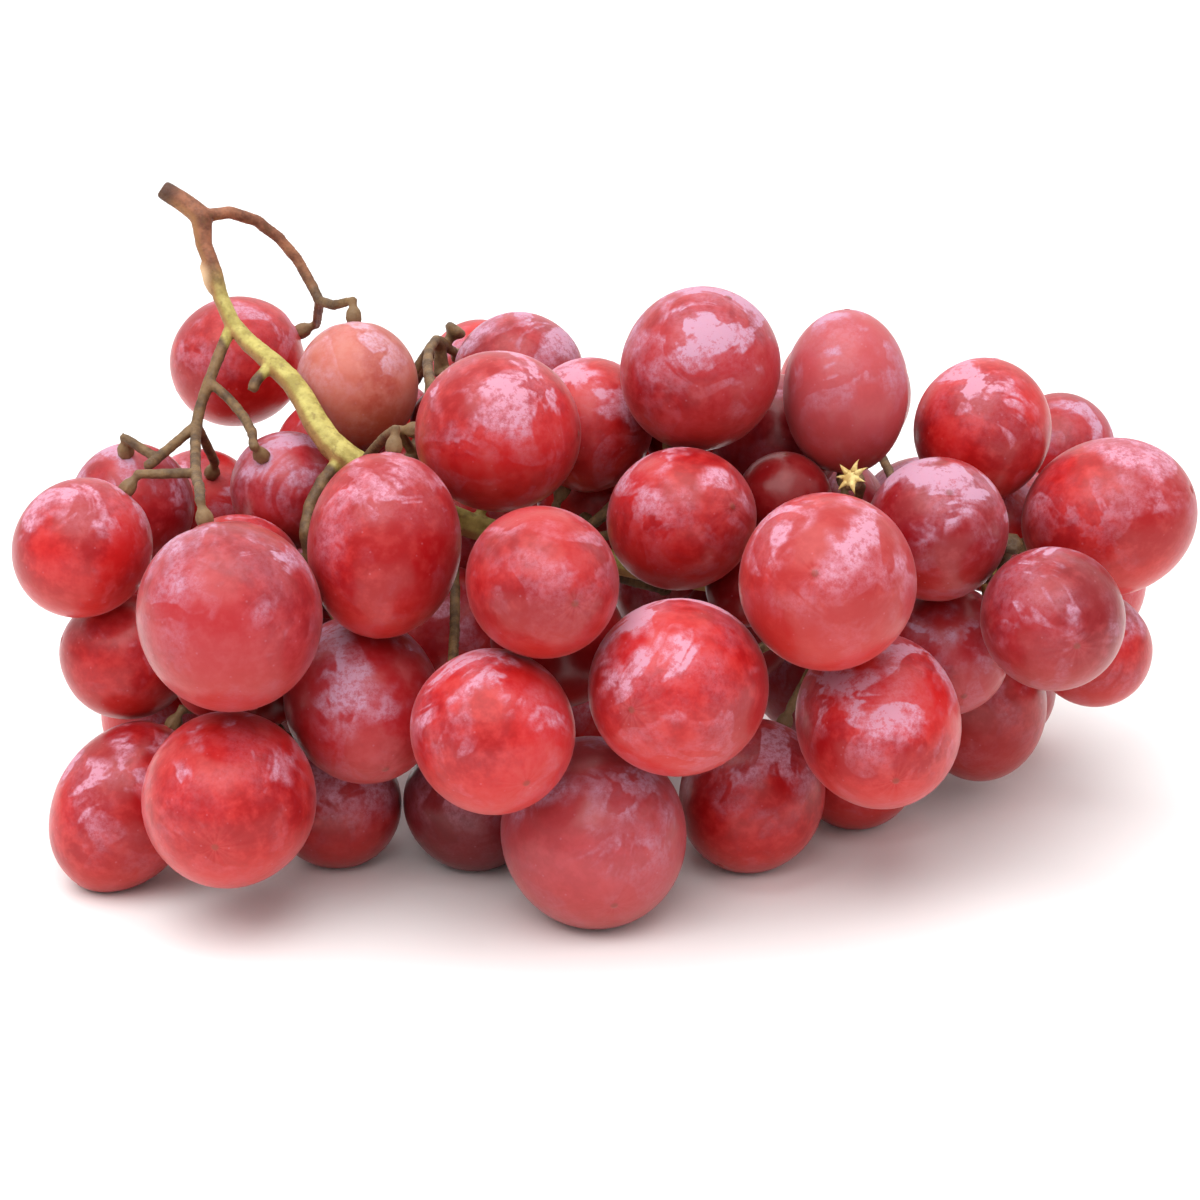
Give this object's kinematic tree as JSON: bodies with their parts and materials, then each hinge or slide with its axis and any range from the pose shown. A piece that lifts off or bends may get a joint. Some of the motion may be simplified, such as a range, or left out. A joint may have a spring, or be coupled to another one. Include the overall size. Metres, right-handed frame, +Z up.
{
  "type": "bunch of grapes",
  "caption": "Picked bunch of red table grapes lying on its side: plump round to oval grapes packed round a branching woody stalk whose bare cut end curves up at one end.",
  "frame": {"origin": "on the surface that the bunch lies on, under the middle of its bounding box", "axes": "+X along the bunch from its stalk end to its other end, +Y away from the side that the picture shows, +Z up"},
  "size_m": [0.1768, 0.115, 0.0962],
  "materials": {
    "red_skin": "glossy deep red grape skin with a thin pale waxy bloom, rubbed off in patches",
    "mauve_skin": "the same skin under a heavier mauve bloom",
    "peach_skin": "paler, less ripe skin, peach coloured and slightly see-through",
    "stalk": "matt woody to green stalk: red brown at the cut end and on the thin side branches, yellow green with brown flecks along the main stalk"
  },
  "bodies": {
    "root": {"grape_01": "red_skin", "grape_02": "peach_skin", "grape_03": "red_skin", "grape_04": "mauve_skin", "grape_05": "red_skin", "grape_06": "red_skin", "grape_07": "mauve_skin", "grape_08": "mauve_skin", "grape_09": "red_skin", "grape_10": "mauve_skin", "grape_11": "red_skin", "grape_12": "mauve_skin", "grape_13": "mauve_skin", "grape_14": "red_skin", "grape_15": "red_skin", "grape_16": "red_skin", "grape_17": "mauve_skin", "grape_18": "red_skin", "grape_19": "red_skin", "grape_20": "mauve_skin", "grape_21": "red_skin", "grape_22": "mauve_skin", "grape_23": "red_skin", "grape_24": "red_skin", "grape_25": "mauve_skin", "grape_26": "red_skin", "grape_27": "red_skin", "grape_28": "red_skin", "grape_29": "mauve_skin", "grape_30": "red_skin", "grape_31": "red_skin", "grape_32": "red_skin", "grape_33": "red_skin", "grape_34": "mauve_skin", "grape_35": "red_skin", "grape_36": "red_skin", "grape_37": "red_skin", "grape_38": "red_skin", "grape_39": "mauve_skin", "grape_40": "red_skin", "grape_41": "red_skin", "grape_42": "red_skin", "grape_43": "red_skin", "grape_44": "red_skin", "grape_45": "red_skin", "grape_46": "mauve_skin", "grape_47": "red_skin", "grape_48": "red_skin", "grape_49": "mauve_skin", "grape_50": "red_skin", "grape_51": "red_skin", "grape_52": "mauve_skin", "grape_53": "red_skin", "grape_54": "mauve_skin", "grape_55": "red_skin", "grape_56": "red_skin", "grape_57": "red_skin", "grape_58": "red_skin", "grape_59": "red_skin", "stalk": "stalk"}
  },
  "joints": []
}
